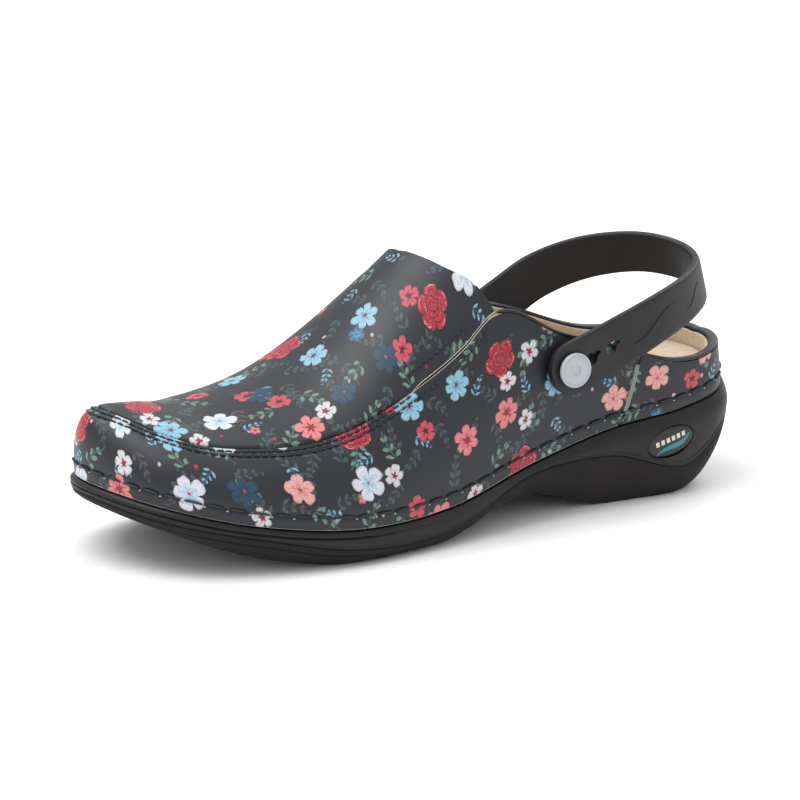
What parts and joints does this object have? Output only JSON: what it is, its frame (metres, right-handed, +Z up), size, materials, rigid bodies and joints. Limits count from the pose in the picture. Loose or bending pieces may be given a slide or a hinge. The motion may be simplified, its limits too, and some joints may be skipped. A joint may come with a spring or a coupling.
{
  "type": "slip-on work clog",
  "caption": "Slip-on work clog for a left foot: printed leather upper with an elastic-sided tongue, moulded sole and a rubber heel strap that swings on side buttons.",
  "frame": {"origin": "centre of the bounding box at ground level, under the waist of the sole", "axes": "+Z up, toe towards -Y, heel towards +Y, lateral (outer) side towards +X"},
  "size_m": [0.1015, 0.26, 0.0931],
  "materials": {
    "sole_rubber": "matt moulded",
    "sole_foam": "satin moulded polyurethane",
    "steel": "plain",
    "badge": "satin, with a plain printed wave",
    "fibre_board": "pressed cellulose",
    "insole_foam": "foam",
    "lining": "soft nap, beige",
    "printed_leather": "smooth coated, dark ground with a small floral print",
    "stiffener": "resin-stiffened felt",
    "elastic": "woven elastic",
    "thread": "waxed twisted thread",
    "seam_thread": "twisted thread",
    "strap_rubber": "satin moulded",
    "button": "satin moulded, pale grey"
  },
  "bodies": {
    "shoe": {"outsole": "sole_rubber", "midsole": "sole_foam", "shank": "steel", "badge_plate": "badge", "insole_board": "fibre_board", "insole_foam": "insole_foam", "insole_cover": "lining", "side_wall": "printed_leather", "heel_quarter": "printed_leather", "vamp_plug": "printed_leather", "vamp_lining": "lining", "quarter_lining": "lining", "toe_puff": "stiffener", "heel_counter": "stiffener", "collar_binding": "printed_leather", "gore_lateral": "elastic", "gore_medial": "elastic", "edge_stitching": "thread", "toe_seam_stitching": "thread", "side_seam_stitching_lateral": "seam_thread", "side_seam_stitching_medial": "seam_thread", "gore_stitching_front_lateral": "thread", "gore_stitching_rear_lateral": "thread", "gore_stitching_front_medial": "thread", "gore_stitching_rear_medial": "thread", "button_cap_lateral": "button", "button_post_lateral": "button", "button_backing_lateral": "steel", "button_cap_medial": "button", "button_post_medial": "button", "button_backing_medial": "steel"},
    "strap": {"heel_strap": "strap_rubber"}
  },
  "joints": [
    {"name": "strap_swing", "type": "hinge", "parent": "shoe", "child": "strap", "pos_m": [0, 0.0446, 0.0548], "axis": [1, 0, 0], "range_deg": [-11, 108]}
  ]
}
